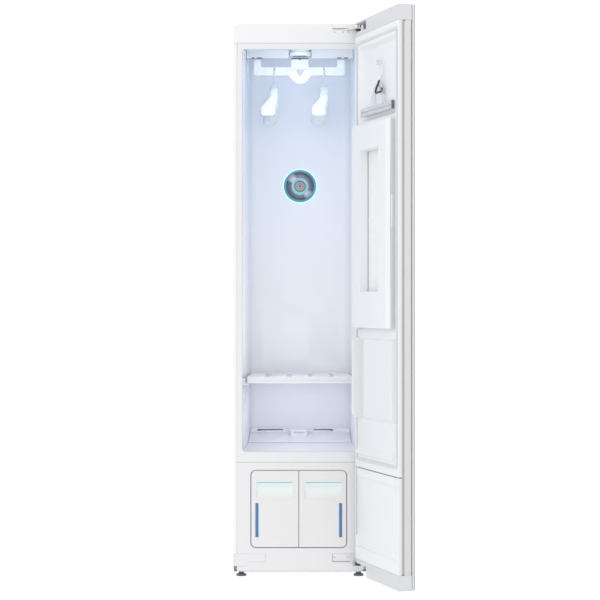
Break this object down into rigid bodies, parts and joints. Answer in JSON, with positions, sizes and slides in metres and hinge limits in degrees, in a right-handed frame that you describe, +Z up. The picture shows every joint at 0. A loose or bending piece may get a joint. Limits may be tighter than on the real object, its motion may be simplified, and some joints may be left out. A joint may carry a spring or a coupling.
{
  "type": "clothes care steam cabinet",
  "caption": "Tall steam cabinet for clothes care with a hinged door, moving hanger bar, shelf, water tanks and a trouser press in the door.",
  "frame": {"origin": "middle of the underside of the base pan, 18 mm above the floor the feet stand on", "axes": "+Z up, -Y out of the cabinet's front, +X towards the door's hinges"},
  "size_m": [0.581, 0.9863, 1.85],
  "materials": {
    "white_enamel": "satin",
    "galvanised": "satin",
    "white_moulding": "gloss",
    "liner": "satin",
    "pale_moulding": "satin",
    "silver_trim": "satin",
    "hinge_steel": "satin",
    "wire": "gloss",
    "dish_metal": "satin",
    "teal_light": "gloss",
    "level_window": "gloss",
    "clear_plastic": "gloss",
    "grey_plastic": "satin",
    "black_plastic": "satin",
    "door_glass": "gloss",
    "foam": "matte",
    "seal": "matte",
    "copper_fins": "satin"
  },
  "bodies": {
    "cabinet": {"base_pan": "galvanised", "side_panel_left": "white_enamel", "side_panel_right": "white_enamel", "rear_panel": "galvanised", "top_cover": "white_moulding", "header_fascia": "white_moulding", "front_frame": "white_moulding", "lower_fascia": "white_moulding", "hinge_blank_cover": "white_moulding", "cavity_liner": "liner", "cavity_floor": "liner", "cavity_ceiling": "liner", "air_inlet_cover": "liner", "vent_light_ring": "teal_light", "vent_dish": "dish_metal", "vent_grille": "teal_light", "rear_air_duct": "grey_plastic", "lamp_lens": "clear_plastic", "drive_flange": "pale_moulding", "drive_motor": "hinge_steel", "tank_bay": "grey_plastic", "hinge_bracket_upper": "hinge_steel", "hinge_bracket_lower": "hinge_steel", "compressor": "black_plastic", "heat_exchanger": "copper_fins", "steam_generator": "grey_plastic", "blower_housing": "grey_plastic"},
    "foot_left": {"foot_front_left": "black_plastic"},
    "foot_right": {"foot_front_right": "black_plastic"},
    "impeller": {"blower_impeller": "black_plastic"},
    "crank": {"drive_crank": "hinge_steel"},
    "moving_bar": {"hanger_bar": "pale_moulding"},
    "hanger_left": {"coat_hanger_left": "pale_moulding", "coat_hook_left": "wire"},
    "hanger_right": {"coat_hanger_right": "pale_moulding", "coat_hook_right": "wire"},
    "shelf": {"shelf": "liner"},
    "supply_tank": {"supply_tank_front": "white_moulding", "supply_tank_body": "clear_plastic", "supply_tank_window": "level_window"},
    "drain_tank": {"drain_tank_front": "white_moulding", "drain_tank_body": "clear_plastic", "drain_tank_window": "level_window"},
    "door": {"door_front_panel": "door_glass", "door_trim_free": "silver_trim", "door_trim_hinge": "silver_trim", "door_cap_top": "pale_moulding", "door_cap_bottom": "pale_moulding", "door_core": "foam", "door_liner_upper": "white_moulding", "door_liner_lower": "white_moulding", "door_gasket": "seal", "press_tray": "liner"},
    "press_cover": {"press_cover": "white_moulding"},
    "press_latch": {"press_latch": "grey_plastic"},
    "trouser_hanger": {"trouser_hook": "wire", "trouser_body": "clear_plastic", "trouser_jaw_rear": "grey_plastic"},
    "trouser_jaw": {"trouser_jaw_front": "grey_plastic"},
    "trouser_lever": {"trouser_lever": "black_plastic"}
  },
  "joints": [
    {"name": "door_swing", "type": "hinge", "parent": "cabinet", "child": "door", "pos_m": [0.2105, -0.2915, 0.916], "axis": [0, 0, 1], "range_deg": [-106, 14]},
    {"name": "press_cover_swing", "type": "hinge", "parent": "door", "child": "press_cover", "pos_m": [0.18306, -0.32642, 1.149], "axis": [0, 0, -1], "range_deg": [0, 95]},
    {"name": "press_latch_push", "type": "slide", "parent": "press_cover", "child": "press_latch", "axis": [-0.2756, 0.9613, 0], "range_m": [0, 0.0025], "stiffness_N_per_m": 200},
    {"name": "trouser_hanger_swing", "type": "hinge", "parent": "door", "child": "trouser_hanger", "pos_m": [0.25115, -0.50039, 1.682], "axis": [-0.2756, 0.9613, 0], "range_deg": [0, 20]},
    {"name": "trouser_jaw_open", "type": "hinge", "parent": "trouser_hanger", "child": "trouser_jaw", "pos_m": [0.24978, -0.5065, 1.537], "axis": [-0.2756, 0.9613, 0], "range_deg": [0, 15], "stiffness_Nm_per_rad": 0.3},
    {"name": "trouser_lever_turn", "type": "hinge", "parent": "trouser_hanger", "child": "trouser_lever", "pos_m": [0.25428, -0.53486, 1.612], "axis": [-0.9613, -0.2756, 0], "range_deg": [0, 40.5]},
    {"name": "bar_shake", "type": "slide", "parent": "cabinet", "child": "moving_bar", "axis": [1, 0, 0], "range_m": [-0.004, 0.008]},
    {"name": "crank_turn", "type": "hinge", "parent": "cabinet", "child": "crank", "pos_m": [0.001, -0.024, 1.76], "axis": [0, 0, 1], "continuous": true},
    {"name": "hanger_left_swing", "type": "hinge", "parent": "moving_bar", "child": "hanger_left", "pos_m": [-0.089, -0.024, 1.7], "axis": [1, 0, 0], "range_deg": [-12, 12]},
    {"name": "hanger_right_swing", "type": "hinge", "parent": "moving_bar", "child": "hanger_right", "pos_m": [0.083, -0.024, 1.7], "axis": [1, 0, 0], "range_deg": [-12, 12]},
    {"name": "shelf_slide", "type": "slide", "parent": "cabinet", "child": "shelf", "axis": [0, -1, 0], "range_m": [0, 0.065]},
    {"name": "supply_tank_slide", "type": "slide", "parent": "cabinet", "child": "supply_tank", "axis": [0, -1, 0], "range_m": [0, 0.22]},
    {"name": "drain_tank_slide", "type": "slide", "parent": "cabinet", "child": "drain_tank", "axis": [0, -1, 0], "range_m": [0, 0.22]},
    {"name": "impeller_spin", "type": "hinge", "parent": "cabinet", "child": "impeller", "pos_m": [0, 0.215, 0.25], "axis": [0, 1, 0], "continuous": true},
    {"name": "foot_left_turn", "type": "hinge", "parent": "cabinet", "child": "foot_left", "pos_m": [-0.197, -0.23, -0.009], "axis": [0, 0, 1], "continuous": true},
    {"name": "foot_right_turn", "type": "hinge", "parent": "cabinet", "child": "foot_right", "pos_m": [0.197, -0.23, -0.009], "axis": [0, 0, 1], "continuous": true}
  ],
  "couplings": [
    {"joint": "trouser_lever_turn", "follows": "trouser_jaw_open", "ratio": 2.6667}
  ]
}
